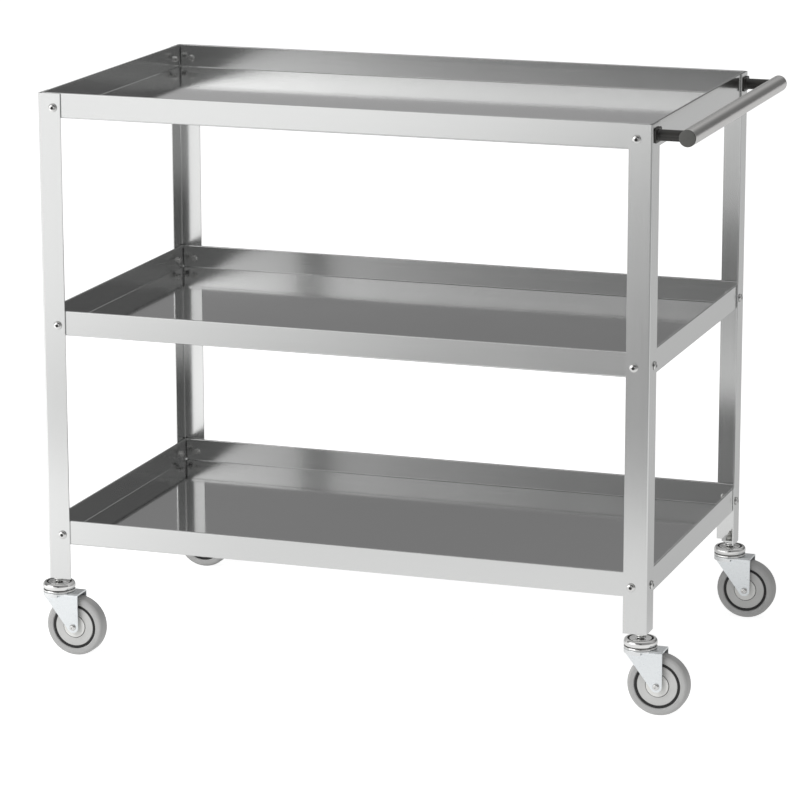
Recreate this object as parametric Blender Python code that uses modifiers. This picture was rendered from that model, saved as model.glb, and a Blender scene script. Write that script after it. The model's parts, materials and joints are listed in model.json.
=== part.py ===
"""Three-shelf food service trolley: steel trays on four angle legs, with a push handle and swivel castors.

Frame: X runs along the trolley, with the push handle at +X. Y runs across it, with the front long side at -Y.
Z is up. The origin is on the floor, under the middle of the whole trolley. Lengths are in metres.
Pieces are first made about the middle of the leg frame, and centre_on_origin then moves them along X.
"""

from math import acos, atan2, cos, degrees, pi, radians, sin, sqrt

import bmesh
import bpy
from mathutils import Matrix, Vector

# Driving dimensions of the frame
LENGTH = 0.925          # over the legs, along X
WIDTH = 0.536           # over the legs, along Y
SHELF_RIMS = {"top": 0.850, "middle": 0.527, "bottom": 0.208}
GAP = 0.0003            # left between pieces that touch

# Legs: equal angle, bent from sheet
FLANGE = 0.035
LEG_SHEET = 0.002
LEG_BEND = 0.0035       # outer bend radius
LEG_BOTTOM = 0.1175
LEG_TOP_DROP = 0.001    # the legs stop this far below the top rim
GUSSET = 0.0235         # side of the plate welded in the foot of each leg
GUSSET_SHEET = 0.0025
GUSSET_RISE = 0.001
GUSSET_WELD = 0.0008    # how far the plate reaches into each flange
GUSSET_CHAMFER = 0.007

# Shelves: folded trays with a hemmed rim and open corner slits
TRAY_SHEET = 0.0012
LIP_HEIGHT = 0.037
FLOOR_BEND = 0.0022
HEM_WIDTH = 0.0030
HEM_DEPTH = 0.0045
CORNER_NOTCH = 0.0034

# Fasteners
BOLT_FROM_CORNER = 0.0235
BOLT_BELOW_RIM = 0.0220
BOLT_HEAD = (0.0064, 0.0032)    # radius and height of a button head
BOLT_SHANK = 0.0019
BOLT_SOCKET = 0.0022            # across-corners radius of the hexagon socket
NUT = (0.0055, 0.0042)          # radius and height
BOLT_CLEARANCE = 0.00025
PIN_CLEARANCE = 0.0004

# Push handle
BAR_RADIUS = 0.0122
BAR_WALL = 0.0015
BAR_REACH = 0.048               # bar axis beyond the legs
BAR_DROP = 0.0175               # bar axis below the top rim
END_CAP = 0.0026
BRACKET_PLATE = (0.0032, 0.0320, 0.0205)
BRACKET_ARM = 0.0080
BRACKET_FROM_CORNER = 0.0190
BRACKET_CORNER = 0.0040
HANDLE_SHANK = 0.0019
HANDLE_NUT = 0.0056             # radius of the nut inside the bar
CAP_EDGE = 0.0012
CAP_SPIGOT = 0.008

# Castors
CASTOR_INSET = 0.0112           # swivel axis from the outer faces of the leg
WHEEL_RADIUS = 0.045
TRAIL = 0.028
TYRE_HALF = 0.012
TYRE_SHOULDER = 0.0055
CORE_RADIUS = 0.0336
CORE_HALF = 0.0108
HUB_RADIUS = 0.0172
HUB_HALF = 0.0118
SPACER_RADIUS = 0.0072
FORK_TOP = 0.0965
FORK_SHEET = 0.0025
FORK_HALF = 0.0175              # outer faces of the fork's two sides
FORK_BEND = 0.0035
FORK_TIP = 0.0085
FORK_ROUND = 0.0240             # radius of the round head of the fork
FORK_SKIRT = 0.0065
FORK_FRONT = 0.0166             # foot of the slanted edge, ahead of the swivel axis
FORK_CUT = (0.020, 0.030, 0.060)    # low, side and tail ends of the blank that the fork is cut from
HEAD_OPEN = (0.010, 0.006)      # the head is cut clear of the wheel from here ahead of the axis and behind it
AXLE_RADIUS = 0.0040
AXLE_HEAD = (0.0056, 0.0026)
CAP_RADIUS = 0.0243
CAP_TOP = 0.1108
CAP_RING = 0.0140               # radii of the crown's raised ring, its groove and the shoulder outside it
CAP_GROOVE = 0.0165
CAP_SHOULDER = 0.0184
CAP_GROOVE_DEPTH = 0.0020
CAP_SHOULDER_DROP = 0.0006
CAP_BAND = (0.0988, 0.1012)     # the upright band of the rim, from the floor
CAP_TURN_IN = 0.0036
CAP_LIFT = 0.0005               # the cap's clearance over the fork
KINGPIN = 0.0050
RIVET = (0.0090, 0.0022)        # radius and height of the kingpin's foot
COLLAR_RADIUS = 0.0077
STEM_RADIUS = 0.0040
STEM_TIP = 0.1345
STEM_POINT = 0.0060
STEM_NUT = (0.0064, 0.0042)

# Sides of holes, of small, middling and large round pieces, and of the tyres
HOLE, COARSE, ROUND, FINE, TYRE_SIDES = 8, 10, 20, 28, 32

CORNERS = {
    "left_front": (-1, -1),
    "left_back": (-1, 1),
    "right_front": (1, -1),
    "right_back": (1, 1),
}


def clear_scene():
    for obj in list(bpy.data.objects):
        bpy.data.objects.remove(obj, do_unlink=True)


def make_collection(name):
    collection = bpy.data.collections.new(name)
    bpy.context.scene.collection.children.link(collection)
    return collection


def make_material(name, colour, roughness, metallic):
    material = bpy.data.materials.new(name)
    material.use_nodes = True
    shader = material.node_tree.nodes["Principled BSDF"]
    shader.inputs["Base Color"].default_value = (*colour, 1.0)
    shader.inputs["Roughness"].default_value = roughness
    shader.inputs["Metallic"].default_value = metallic
    return material


# Mesh tools

def finished(bm, name):
    """The mesh of a bmesh, with its faces turned outwards."""
    bmesh.ops.recalc_face_normals(bm, faces=bm.faces)
    mesh = bpy.data.meshes.new(name)
    bm.to_mesh(mesh)
    bm.free()
    return mesh


def box(name, low, high):
    bm = bmesh.new()
    size = [b - a for a, b in zip(low, high)]
    middle = [(a + b) / 2 for a, b in zip(low, high)]
    matrix = Matrix.Translation(middle) @ Matrix.Diagonal((*size, 1.0))
    bmesh.ops.create_cube(bm, size=1.0, matrix=matrix)
    return finished(bm, name)


def add_cylinder(bm, start, end, radius, sides=COARSE):
    """Adds a capped cylinder between two points to a bmesh."""
    start, end = Vector(start), Vector(end)
    along = end - start
    turn = along.to_track_quat("Z", "Y").to_matrix().to_4x4()
    matrix = Matrix.Translation((start + end) / 2) @ turn
    bmesh.ops.create_cone(
        bm, cap_ends=True, segments=sides, radius1=radius, radius2=radius, depth=along.length, matrix=matrix
    )


def cylinders(name, pieces, sides=COARSE):
    """One mesh of several cylinders, each given as start, end and radius."""
    bm = bmesh.new()
    for start, end, radius in pieces:
        add_cylinder(bm, start, end, radius, sides)
    return finished(bm, name)


def arc(centre, radius, start, end, steps):
    """Points on an arc, with angles in degrees."""
    angles = [radians(start + (end - start) * i / steps) for i in range(steps + 1)]
    return [(centre[0] + radius * cos(a), centre[1] + radius * sin(a)) for a in angles]


def evaluated_mesh(obj, name):
    """The object's mesh with its modifiers applied and its loose caps welded."""
    bpy.context.view_layer.update()
    graph = bpy.context.evaluated_depsgraph_get()
    mesh = bpy.data.meshes.new_from_object(obj.evaluated_get(graph))
    mesh.name = name
    bm = bmesh.new()
    bm.from_mesh(mesh)
    bmesh.ops.remove_doubles(bm, verts=bm.verts, dist=1e-6)
    bmesh.ops.recalc_face_normals(bm, faces=bm.faces)
    bm.to_mesh(mesh)
    bm.free()
    return mesh


def take_mesh(obj, name):
    """Keeps the object's evaluated mesh and removes the object."""
    mesh = evaluated_mesh(obj, name)
    bpy.data.objects.remove(obj, do_unlink=True)
    return mesh


def prism(name, outline, low, high, plane="XY"):
    """A flat outline extruded from low to high, across the plane it lies in."""
    curve = bpy.data.curves.new(name, "CURVE")
    curve.dimensions = "2D"
    curve.fill_mode = "BOTH"
    curve.extrude = (high - low) / 2
    spline = curve.splines.new("POLY")
    spline.points.add(len(outline) - 1)
    for point, (u, v) in zip(spline.points, outline):
        point.co = (u, v, 0, 1)
    spline.use_cyclic_u = True
    obj = bpy.data.objects.new(name, curve)
    bpy.context.scene.collection.objects.link(obj)
    mesh = take_mesh(obj, name)
    mesh.materials.clear()
    mesh.transform(Matrix.Translation((0, 0, (low + high) / 2)))
    if plane == "XZ":
        mesh.transform(Matrix.Rotation(pi / 2, 4, "X"))
    return mesh


def turned(name, profile, sides, axis="Z"):
    """A profile of radius and height, turned about the axis. It runs down its outer side or is a closed loop."""
    closed = profile[0] == profile[-1]
    points = profile[:-1] if closed else profile
    bm = bmesh.new()
    verts = [bm.verts.new((radius, 0, height)) for radius, height in points]
    for first, second in zip(verts, verts[1:]):
        bm.edges.new((first, second))
    if closed:
        bm.edges.new((verts[-1], verts[0]))
    mesh = bpy.data.meshes.new(name)
    bm.to_mesh(mesh)
    bm.free()
    obj = bpy.data.objects.new(name, mesh)
    bpy.context.scene.collection.objects.link(obj)
    screw = obj.modifiers.new("Turn", "SCREW")
    screw.steps = screw.render_steps = sides
    screw.use_merge_vertices = True
    screw.merge_threshold = 1e-6
    result = take_mesh(obj, name)
    if axis == "Y":
        result.transform(Matrix.Rotation(pi / 2, 4, "X"))
    return result


def helper(name, mesh):
    """A hidden cutter or joined piece for a Boolean."""
    obj = bpy.data.objects.new(name, mesh)
    obj.hide_render = True
    obj.display_type = "WIRE"
    CUTTERS.objects.link(obj)
    return obj


def snapped(mesh):
    """Rounds a mesh's points to 0.1 micrometre, so that faces meant to lie in one plane do."""
    for vert in mesh.vertices:
        vert.co = [round(value, 7) for value in vert.co]
    return mesh


def combined(name, base, steps):
    """The base mesh after a list of Boolean steps, each an operation and a mesh."""
    snapped(base)
    obj = bpy.data.objects.new(name, base)
    bpy.context.scene.collection.objects.link(obj)
    for number, (operation, mesh) in enumerate(steps):
        modifier = obj.modifiers.new(f"{operation.title()} {number + 1}", "BOOLEAN")
        modifier.operation = operation
        modifier.solver = "EXACT"
        modifier.object = helper(f"{name}_{operation.lower()}_{number + 1}", snapped(mesh))
    return take_mesh(obj, name)


def smooth(mesh, angle=35):
    mesh.shade_smooth()
    mesh.set_sharp_from_angle(angle=radians(angle))


def add(name, mesh, material, location=(0, 0, 0), turn=0.0, parent=None):
    """Places a mesh as a sub-part. Copies share the mesh and its material."""
    obj = bpy.data.objects.new(name, mesh)
    obj.location = location
    obj.rotation_euler = (0, 0, turn)
    if not mesh.materials:
        mesh.materials.append(material)
    obj.parent = parent
    TROLLEY.objects.link(obj)
    return obj


def add_empty(name, location, parent=None):
    empty = bpy.data.objects.new(name, None)
    empty.empty_display_size = 0.02
    empty.location = location
    empty.parent = parent
    TROLLEY.objects.link(empty)
    return empty


# Frame

def bolt_places(corner):
    """Each bolt of one leg: name, point on the leg's outer face, and the direction that its head faces."""
    sx, sy = CORNERS[corner]
    for shelf, rim in SHELF_RIMS.items():
        z = rim - BOLT_BELOW_RIM
        long_side = (sx * (LENGTH / 2 - BOLT_FROM_CORNER), sy * WIDTH / 2, z)
        yield f"bolt_{shelf}_{corner}_long", long_side, Vector((0, sy, 0))
        if shelf != "top" or sx < 0:
            end_side = (sx * LENGTH / 2, sy * (WIDTH / 2 - BOLT_FROM_CORNER), z)
            yield f"bolt_{shelf}_{corner}_end", end_side, Vector((sx, 0, 0))


def handle_point(sy):
    """Where the axis of a handle bracket meets the outer face of its leg."""
    return Vector((LENGTH / 2, sy * (WIDTH / 2 - BRACKET_FROM_CORNER), SHELF_RIMS["top"] - BAR_DROP))


def leg_outline():
    """The angle section, with its outer corner at the origin and its flanges along +X and +Y."""
    inner = LEG_BEND - LEG_SHEET
    outer_bend = arc((LEG_BEND, LEG_BEND), LEG_BEND, 270, 180, 4)
    inner_bend = arc((LEG_BEND, LEG_BEND), inner, 180, 270, 3)
    return [
        (FLANGE, 0.0),
        *outer_bend,
        (0.0, FLANGE),
        (LEG_SHEET, FLANGE),
        *inner_bend,
        (FLANGE, LEG_SHEET),
    ]


def gusset_outline():
    """The plate in the foot of the leg. It reaches a little into both flanges, with its free corner cut off."""
    start = LEG_SHEET - GUSSET_WELD
    cut = GUSSET - GUSSET_CHAMFER
    return [(start, start), (GUSSET, start), (GUSSET, cut), (cut, GUSSET), (start, GUSSET)]


def leg_mesh(corner):
    """One leg in place, with its holes."""
    sx, sy = CORNERS[corner]
    top = SHELF_RIMS["top"] - LEG_TOP_DROP
    angle = prism(f"leg_{corner}", leg_outline(), LEG_BOTTOM, top)
    plate_bottom = LEG_BOTTOM + GUSSET_RISE
    plate = prism("gusset", gusset_outline(), plate_bottom, plate_bottom + GUSSET_SHEET)
    place = Matrix.Translation((sx * LENGTH / 2, sy * WIDTH / 2, 0)) @ Matrix.Diagonal((-sx, -sy, 1, 1))
    for mesh in (angle, plate):
        mesh.transform(place)
        if sx * sy < 0:
            mesh.flip_normals()
    reach = LEG_SHEET * 3
    holes = []
    for _, point, facing in bolt_places(corner):
        across = facing * reach
        holes.append((Vector(point) + across, Vector(point) - across, BOLT_SHANK + BOLT_CLEARANCE))
    if sx > 0:
        point = handle_point(sy)
        across = Vector((reach, 0, 0))
        holes.append((point + across, point - across, HANDLE_SHANK + BOLT_CLEARANCE))
    stem = Vector((sx * (LENGTH / 2 - CASTOR_INSET), sy * (WIDTH / 2 - CASTOR_INSET), plate_bottom))
    rise = Vector((0, 0, GUSSET_SHEET * 2))
    holes.append((stem - rise, stem + rise, STEM_RADIUS + PIN_CLEARANCE))
    steps = [("UNION", plate), ("DIFFERENCE", cylinders("holes", holes, HOLE))]
    return combined(f"leg_{corner}", angle, steps)


def fold_lip(bm, edge, outward, profile):
    """Folds one side of the tray up from an edge of its floor, along a profile of reach outwards and rise."""
    last = Vector((0, 0, 0))
    for reach, rise in profile:
        made = bmesh.ops.extrude_edge_only(bm, edges=[edge])["geom"]
        verts = [item for item in made if isinstance(item, bmesh.types.BMVert)]
        edges = [item for item in made if isinstance(item, bmesh.types.BMEdge)]
        edge = next(item for item in edges if item.verts[0] in verts and item.verts[1] in verts)
        place = outward * reach + Vector((0, 0, rise))
        bmesh.ops.translate(bm, verts=verts, vec=place - last)
        last = place


def lip_profile():
    """The outer skin of a lip: the bend at the floor, the wall, and the hem folded over to the inside."""
    hem = HEM_WIDTH / 2
    bend = arc((0, FLOOR_BEND), FLOOR_BEND, 270, 360, 3)[1:]
    fold = arc((FLOOR_BEND - hem, LIP_HEIGHT - hem), hem, 0, 180, 4)
    return [*bend, *fold, (FLOOR_BEND - HEM_WIDTH, LIP_HEIGHT - HEM_DEPTH)]


def tray_mesh(shelf):
    """One shelf in place: an open skin, thickened inwards, then its bolt holes."""
    rim = SHELF_RIMS[shelf]
    half = Vector((LENGTH / 2 - LEG_SHEET - GAP, WIDTH / 2 - LEG_SHEET - GAP))
    inner, notch = half - Vector((FLOOR_BEND, FLOOR_BEND)), half - Vector((CORNER_NOTCH, CORNER_NOTCH))
    quarter = [(inner.x, notch.y), (notch.x, notch.y), (notch.x, inner.y)]
    outline = []
    for sx, sy in ((1, 1), (-1, 1), (-1, -1), (1, -1)):
        corner = [(sx * x, sy * y) for x, y in quarter]
        outline += corner if sx * sy > 0 else corner[::-1]
    bm = bmesh.new()
    floor = bm.faces.new([bm.verts.new((x, y, rim - LIP_HEIGHT)) for x, y in outline])
    floor.normal_update()
    if floor.normal.z > 0:
        floor.normal_flip()
    profile = lip_profile()
    for edge in list(floor.edges):
        middle = (edge.verts[0].co + edge.verts[1].co) / 2
        if abs(abs(middle.x) - inner.x) < GAP:
            fold_lip(bm, edge, Vector((1, 0, 0) if middle.x > 0 else (-1, 0, 0)), profile)
        elif abs(abs(middle.y) - inner.y) < GAP:
            fold_lip(bm, edge, Vector((0, 1, 0) if middle.y > 0 else (0, -1, 0)), profile)
    mesh = bpy.data.meshes.new(shelf)
    bm.to_mesh(mesh)
    bm.free()
    obj = bpy.data.objects.new(shelf, mesh)
    bpy.context.scene.collection.objects.link(obj)
    solid = obj.modifiers.new("Sheet", "SOLIDIFY")
    solid.thickness = TRAY_SHEET
    solid.offset = -1
    solid.use_even_offset = True
    skin = take_mesh(obj, shelf)
    reach = TRAY_SHEET * 5
    holes = []
    for corner, (sx, sy) in CORNERS.items():
        for name, point, facing in bolt_places(corner):
            if name.startswith(f"bolt_{shelf}_"):
                point = Vector(point)
                holes.append((point + facing * reach, point - facing * reach, BOLT_SHANK + BOLT_CLEARANCE))
        if shelf == "top" and sx > 0:
            point, across = handle_point(sy), Vector((reach, 0, 0))
            holes.append((point + across, point - across, HANDLE_SHANK + BOLT_CLEARANCE))
    return combined(f"{shelf}_shelf", skin, [("DIFFERENCE", cylinders("holes", holes, HOLE))])


def bolt_mesh():
    """A button-head bolt with its nut, as one piece. Its head faces +Z, and the leg's outer face is at 0."""
    radius, height = BOLT_HEAD
    nut_top = -(LEG_SHEET + GAP + TRAY_SHEET + GAP)
    nut_bottom = nut_top - NUT[1]
    profile = [(0.0, GAP + height), (radius * 0.7, GAP + height * 0.8), (radius, GAP), (BOLT_SHANK, GAP)]
    profile += [(BOLT_SHANK, nut_top), (NUT[0], nut_top), (NUT[0], nut_bottom), (0.0, nut_bottom)]
    body = turned("bolt", profile, COARSE)
    socket = cylinders("socket", [((0, 0, GAP + height * 0.45), (0, 0, height * 2), BOLT_SOCKET)], 6)
    mesh = combined("bolt", body, [("DIFFERENCE", socket)])
    smooth(mesh)
    return mesh


def facing_matrix(direction):
    return Vector(direction).to_track_quat("Z", "Y").to_matrix().to_4x4()


def build_frame():
    for corner in CORNERS:
        add(f"leg_{corner}", leg_mesh(corner), STEEL)
    for shelf in SHELF_RIMS:
        add(f"{shelf}_shelf", tray_mesh(shelf), TRAY_STEEL)
    bolt = bolt_mesh()
    for corner in CORNERS:
        for name, point, facing in bolt_places(corner):
            obj = add(name, bolt, FASTENER)
            obj.matrix_world = Matrix.Translation(point) @ facing_matrix(facing)


# Push handle

def handle_bolt_mesh():
    """The long bolt of a handle bracket, from inside the top shelf to a nut inside the bar. It runs along +Z."""
    head_radius, head_height = BOLT_HEAD
    head = -(LEG_SHEET + GAP + TRAY_SHEET + GAP)
    seat = BAR_REACH - sqrt((BAR_RADIUS - BAR_WALL) ** 2 - HANDLE_NUT ** 2) + GAP
    profile = [(0.0, seat + NUT[1]), (HANDLE_NUT, seat + NUT[1]), (HANDLE_NUT, seat)]
    profile += [(HANDLE_SHANK, seat), (HANDLE_SHANK, head), (head_radius, head)]
    profile += [(head_radius * 0.8, head - head_height * 0.75), (0.0, head - head_height)]
    mesh = turned("handle_bolt", profile, COARSE)
    smooth(mesh)
    return mesh


def bracket_mesh():
    """The moulded spacer of the handle: a plate on the leg, and a round arm hollowed to fit the bar."""
    depth, across, tall = BRACKET_PLATE
    outline = []
    for cx, cz, start in ((1, 1, 0), (-1, 1, 90), (-1, -1, 180), (1, -1, 270)):
        centre = (cx * (across / 2 - BRACKET_CORNER), cz * (tall / 2 - BRACKET_CORNER))
        outline += arc(centre, BRACKET_CORNER, start, start + 90, 3)
    plate = prism("plate", outline, GAP, depth)
    arm = cylinders("arm", [((0, 0, depth / 2), (0, 0, BAR_REACH), BRACKET_ARM)], ROUND)
    saddle = cylinders("saddle", [((-across, 0, BAR_REACH), (across, 0, BAR_REACH), BAR_RADIUS + GAP)], FINE)
    bore_radius = HANDLE_SHANK + BOLT_CLEARANCE
    bore = cylinders("bore", [((0, 0, -depth), (0, 0, BAR_REACH), bore_radius)], COARSE)
    mesh = combined("bracket", plate, [("UNION", arm), ("DIFFERENCE", saddle), ("DIFFERENCE", bore)])
    smooth(mesh)
    return mesh


def bar_mesh():
    """The tube of the handle along Y, centred on the origin, open at both ends."""
    half = WIDTH / 2 - END_CAP - GAP
    bm = bmesh.new()
    matrix = Matrix.Rotation(pi / 2, 4, "X")
    bmesh.ops.create_cone(bm, cap_ends=False, segments=FINE, radius1=BAR_RADIUS, radius2=BAR_RADIUS,
                          depth=2 * half, matrix=matrix)
    obj = bpy.data.objects.new("tube", finished(bm, "tube"))
    bpy.context.scene.collection.objects.link(obj)
    wall = obj.modifiers.new("Wall", "SOLIDIFY")
    wall.thickness = BAR_WALL
    wall.offset = -1
    wall.use_even_offset = True
    tube = take_mesh(obj, "tube")
    holes = []
    for sy in (-1, 1):
        y = handle_point(sy).y
        holes.append(((-BAR_RADIUS * 2, y, 0), (-BAR_WALL, y, 0), HANDLE_SHANK + BOLT_CLEARANCE))
    mesh = combined("handle_bar", tube, [("DIFFERENCE", cylinders("holes", holes, HOLE))])
    smooth(mesh)
    return mesh


def end_cap_mesh():
    """The plug of the bar: a disc over the tube's end, facing +Z, with a spigot inside the tube."""
    spigot = BAR_RADIUS - BAR_WALL - GAP
    profile = [(0.0, END_CAP), (BAR_RADIUS - CAP_EDGE, END_CAP), (BAR_RADIUS, END_CAP - CAP_EDGE)]
    profile += [(BAR_RADIUS, 0.0), (spigot, 0.0), (spigot, -CAP_SPIGOT), (0.0, -CAP_SPIGOT)]
    mesh = turned("end_cap", profile, FINE)
    smooth(mesh)
    return mesh


def build_handle():
    bar = bar_mesh()
    centre = Vector((LENGTH / 2 + BAR_REACH, 0, handle_point(1).z))
    add("handle_bar", bar, STEEL, centre)
    bracket, bolt, cap = bracket_mesh(), handle_bolt_mesh(), end_cap_mesh()
    outward = facing_matrix((1, 0, 0))
    for side, sy in (("front", -1), ("back", 1)):
        point = handle_point(sy)
        for name, mesh, material in (("bracket", bracket, DARK_PLASTIC), ("bolt", bolt, FASTENER)):
            obj = add(f"handle_{name}_{side}", mesh, material)
            obj.matrix_world = Matrix.Translation(point) @ outward
        obj = add(f"handle_end_cap_{side}", cap, DARK_PLASTIC)
        end = centre + Vector((0, sy * (WIDTH / 2 - END_CAP), 0))
        obj.matrix_world = Matrix.Translation(end) @ facing_matrix((0, sy, 0))


# Castors

def stem_mesh():
    """The fixed pin of a castor: pointed tip, nut, collar, kingpin and riveted foot, at heights from the floor."""
    plate_bottom = LEG_BOTTOM + GUSSET_RISE
    nut = plate_bottom + GUSSET_SHEET + GAP
    foot = FORK_TOP - FORK_SHEET - GAP
    profile = [
        (0.0, STEM_TIP),
        (STEM_RADIUS, STEM_TIP - STEM_POINT),
        (STEM_RADIUS, nut + STEM_NUT[1]),
        (STEM_NUT[0], nut + STEM_NUT[1]),
        (STEM_NUT[0], nut),
        (STEM_RADIUS, nut),
        (STEM_RADIUS, plate_bottom - GAP),
        (COLLAR_RADIUS, plate_bottom - GAP),
        (COLLAR_RADIUS, CAP_TOP + GAP),
        (KINGPIN, CAP_TOP + GAP),
        (KINGPIN, foot),
        (RIVET[0], foot),
        (RIVET[0], foot - RIVET[1]),
        (0.0, foot - RIVET[1]),
    ]
    mesh = turned("castor_stem", profile, COARSE)
    smooth(mesh)
    return mesh


def cap_mesh():
    """The domed upper race of a castor, with the raised ring and the groove on its crown."""
    bore = KINGPIN + GAP
    under = FORK_TOP + CAP_LIFT
    rim_low, rim_high = CAP_BAND
    rise = CAP_TOP - CAP_SHOULDER_DROP - rim_high
    spread = CAP_RADIUS - CAP_SHOULDER
    dome = [(CAP_SHOULDER + spread * sin(a), rim_high + rise * cos(a)) for a in (0, pi / 4, pi / 2)]
    profile = [
        (bore, CAP_TOP),
        (CAP_RING, CAP_TOP),
        (CAP_GROOVE, CAP_TOP - CAP_GROOVE_DEPTH),
        *dome,
        (CAP_RADIUS, rim_low),
        (CAP_RADIUS - CAP_TURN_IN, under),
        (bore, under),
        (bore, CAP_TOP),
    ]
    mesh = turned("castor_cap", profile, ROUND)
    smooth(mesh, 40)
    return mesh


def fork_side_outline():
    """The fork's side, in X and Z from the swivel axis: slanted front edge, round tip and upright back."""
    front = Vector((-FORK_FRONT, FORK_TOP - FORK_SKIRT))
    tip = Vector((TRAIL, WHEEL_RADIUS))
    away = front - tip
    tangent = atan2(away.y, away.x) + acos(FORK_TIP / away.length)
    top = FORK_TOP + FORK_SHEET
    round_tip = arc(tip, FORK_TIP, degrees(tangent), 360, 7)
    return [(front.x, top), tuple(front), *round_tip, (tip.x + FORK_TIP, top)]


def fork_mesh():
    """The pressed fork, around the swivel axis, with heights from the floor."""
    low, side_end, tail_end = FORK_CUT
    centre = (-FORK_HALF + FORK_BEND, FORK_TOP - FORK_BEND)
    outer = [(-FORK_HALF, low), *arc(centre, FORK_BEND, 180, 90, 3)]
    inner = [(-FORK_HALF + FORK_SHEET, low), *arc(centre, FORK_BEND - FORK_SHEET, 180, 90, 3)]
    side = outer + [(-y, z) for y, z in outer[::-1]]
    inner += [(-y, z) for y, z in inner[::-1]]
    channel = prism("channel", side + inner[::-1], -side_end, tail_end, "XZ")
    channel.transform(Matrix.Rotation(pi / 2, 4, "Z"))
    outline = prism("side", fork_side_outline(), -side_end, side_end, "XZ")
    head = cylinders("head", [((0, 0, FORK_TOP - FORK_SKIRT), (0, 0, FORK_TOP), FORK_ROUND)], ROUND)
    under = FORK_TOP - FORK_SHEET
    hollow = cylinders("hollow", [((0, 0, low), (0, 0, under), FORK_ROUND - FORK_SHEET)], ROUND)
    head = combined("head", head, [("DIFFERENCE", hollow)])
    inside = FORK_HALF - FORK_SHEET
    clear = box("clear", (-HEAD_OPEN[0], -inside, low), (tail_end, inside, under))
    tail = box("tail", (HEAD_OPEN[1], -side_end, low), (tail_end, side_end, under))
    head = combined("head", head, [("DIFFERENCE", tail)])
    king = cylinders("king", [((0, 0, low), (0, 0, CAP_TOP), KINGPIN + PIN_CLEARANCE)], COARSE)
    axle_ends = [(TRAIL, y, WHEEL_RADIUS) for y in (-side_end, side_end)]
    axle = cylinders("axle", [(*axle_ends, AXLE_RADIUS + PIN_CLEARANCE)], COARSE)
    mesh = combined("castor_fork", channel, [
        ("INTERSECT", outline),
        ("UNION", head),
        ("DIFFERENCE", clear),
        ("DIFFERENCE", king),
        ("DIFFERENCE", axle),
    ])
    smooth(mesh)
    return mesh


def wheel_core_mesh():
    """The disc of the wheel, about its axle."""
    bore = AXLE_RADIUS + PIN_CLEARANCE
    spacer = FORK_HALF - FORK_SHEET - GAP
    half = [
        (bore, spacer),
        (SPACER_RADIUS, spacer),
        (SPACER_RADIUS, HUB_HALF),
        (HUB_RADIUS, HUB_HALF),
        (HUB_RADIUS, CORE_HALF),
        (CORE_RADIUS, CORE_HALF),
    ]
    profile = half + [(r, -z) for r, z in half[::-1]] + [half[0]]
    mesh = turned("wheel_core", profile, ROUND, "Y")
    smooth(mesh)
    return mesh


def tyre_mesh():
    """The rubber tyre, about its axle, with rounded shoulders."""
    bore = CORE_RADIUS + GAP
    shoulder = arc((WHEEL_RADIUS - TYRE_SHOULDER, TYRE_HALF - TYRE_SHOULDER), TYRE_SHOULDER, 90, 0, 2)
    half = [(bore, TYRE_HALF), *shoulder]
    profile = half + [(r, -z) for r, z in half[::-1]] + [half[0]]
    mesh = turned("tyre", profile, TYRE_SIDES, "Y")
    smooth(mesh, 60)
    return mesh


def axle_mesh():
    """The axle along Y, with a domed head at each end."""
    radius, height = AXLE_HEAD
    seat = FORK_HALF + GAP
    half = [(0.0, seat + height), (radius * 0.7, seat + height * 0.8), (radius, seat), (AXLE_RADIUS, seat)]
    mesh = turned("axle", half + [(r, -z) for r, z in half[::-1]], COARSE, "Y")
    smooth(mesh)
    return mesh


def build_castors():
    stem, cap, fork = stem_mesh(), cap_mesh(), fork_mesh()
    core, tyre, axle = wheel_core_mesh(), tyre_mesh(), axle_mesh()
    for corner, (sx, sy) in CORNERS.items():
        place = (sx * (LENGTH / 2 - CASTOR_INSET), sy * (WIDTH / 2 - CASTOR_INSET), 0)
        add(f"castor_stem_{corner}", stem, FASTENER, place)
        add(f"castor_cap_{corner}", cap, CHROME, place)
        swivel = add_empty(f"swivel_axis_{corner}", place)
        add(f"castor_fork_{corner}", fork, ZINC, parent=swivel)
        spin = add_empty(f"axle_axis_{corner}", (TRAIL, 0, WHEEL_RADIUS), swivel)
        add(f"castor_axle_{corner}", axle, FASTENER, parent=spin)
        add(f"wheel_core_{corner}", core, GREY_PLASTIC, parent=spin)
        add(f"tyre_{corner}", tyre, RUBBER, parent=spin)


def centre_on_origin():
    """Moves everything along X, so that the origin is midway between the ends of the whole trolley."""
    castor = LENGTH / 2 - CASTOR_INSET
    low = -castor - CAP_RADIUS
    high = max(castor + TRAIL + WHEEL_RADIUS, LENGTH / 2 + BAR_REACH + BAR_RADIUS)
    for obj in TROLLEY.objects:
        if obj.parent is None:
            obj.location.x -= (low + high) / 2


clear_scene()
TROLLEY = make_collection("food_service_trolley")
CUTTERS = make_collection("cutters")
STEEL = make_material("brushed_steel", (0.62, 0.62, 0.61), 0.30, 1.0)
TRAY_STEEL = make_material("tray_steel", (0.55, 0.55, 0.55), 0.18, 1.0)
FASTENER = make_material("fastener_steel", (0.55, 0.55, 0.54), 0.25, 1.0)
CHROME = make_material("chrome", (0.80, 0.80, 0.80), 0.08, 1.0)
ZINC = make_material("zinc_plate", (0.70, 0.73, 0.75), 0.35, 1.0)
GREY_PLASTIC = make_material("grey_plastic", (0.42, 0.42, 0.42), 0.45, 0.0)
RUBBER = make_material("grey_rubber", (0.30, 0.30, 0.30), 0.70, 0.0)
DARK_PLASTIC = make_material("dark_plastic", (0.03, 0.03, 0.03), 0.45, 0.0)
build_frame()
build_handle()
build_castors()
centre_on_origin()
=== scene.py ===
import json
from math import acos, atan2, cos, degrees, hypot, pi, radians, sin

import bmesh
import bpy
from mathutils import Matrix, Vector


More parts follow.
